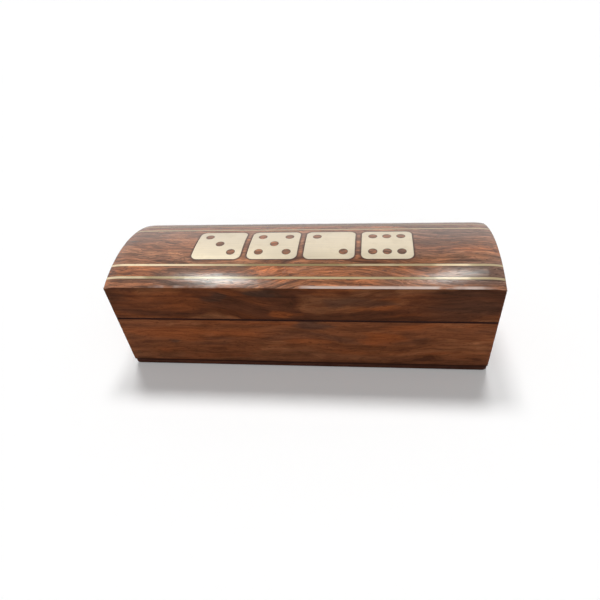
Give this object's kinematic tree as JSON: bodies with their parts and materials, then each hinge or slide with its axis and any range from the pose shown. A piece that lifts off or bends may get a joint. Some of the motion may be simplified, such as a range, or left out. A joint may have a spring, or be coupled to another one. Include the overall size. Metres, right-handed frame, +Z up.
{
  "type": "dice box with hinged lid",
  "caption": "Long wooden dice box with a shallow domed lid on brass butt hinges, brass lines and die-face tiles let into the dome, and a thin base plate under mitred walls.",
  "frame": {"origin": "centre of the box's footprint, on the flat underside of the base plate", "axes": "+X along the box to the right, -Y towards the front, +Z up"},
  "size_m": [0.152, 0.0503, 0.0468],
  "materials": {
    "tray_rosewood": "satin lacquer, grain along the box",
    "base_rosewood": "satin lacquer, darker plank",
    "lid_rosewood": "satin lacquer, grain along the box",
    "dome_rosewood": "glossy lacquer, grain along the box",
    "inlay_brass": "filed flush and lacquered",
    "tile_brass": "pale, filed flush and lacquered",
    "hinge_brass": "pressed brass, lightly tarnished",
    "hinge_pin": "drawn brass wire",
    "screw_brass": "turned brass"
  },
  "bodies": {
    "tray": {"front_wall": "tray_rosewood", "back_wall": "tray_rosewood", "left_end": "tray_rosewood", "right_end": "tray_rosewood", "base_plate": "base_rosewood", "left_hinge_tray_leaf": "hinge_brass", "right_hinge_tray_leaf": "hinge_brass", "left_hinge_pin": "hinge_pin", "right_hinge_pin": "hinge_pin", "tray_leaf_screws": "screw_brass"},
    "lid": {"lid_front_rail": "lid_rosewood", "lid_back_rail": "lid_rosewood", "lid_left_end": "lid_rosewood", "lid_right_end": "lid_rosewood", "domed_top": "dome_rosewood", "line_front_outer": "inlay_brass", "line_front_inner": "inlay_brass", "line_back_inner": "inlay_brass", "line_back_outer": "inlay_brass", "tile_three": "tile_brass", "tile_five": "tile_brass", "tile_two": "tile_brass", "tile_six": "tile_brass", "left_hinge_lid_leaf": "hinge_brass", "right_hinge_lid_leaf": "hinge_brass", "lid_leaf_screws": "screw_brass"}
  },
  "joints": [
    {"name": "lid_hinge", "type": "hinge", "parent": "tray", "child": "lid", "pos_m": [0, 0.0247, 0.0265], "axis": [-1, 0, 0], "range_deg": [0, 180]}
  ]
}
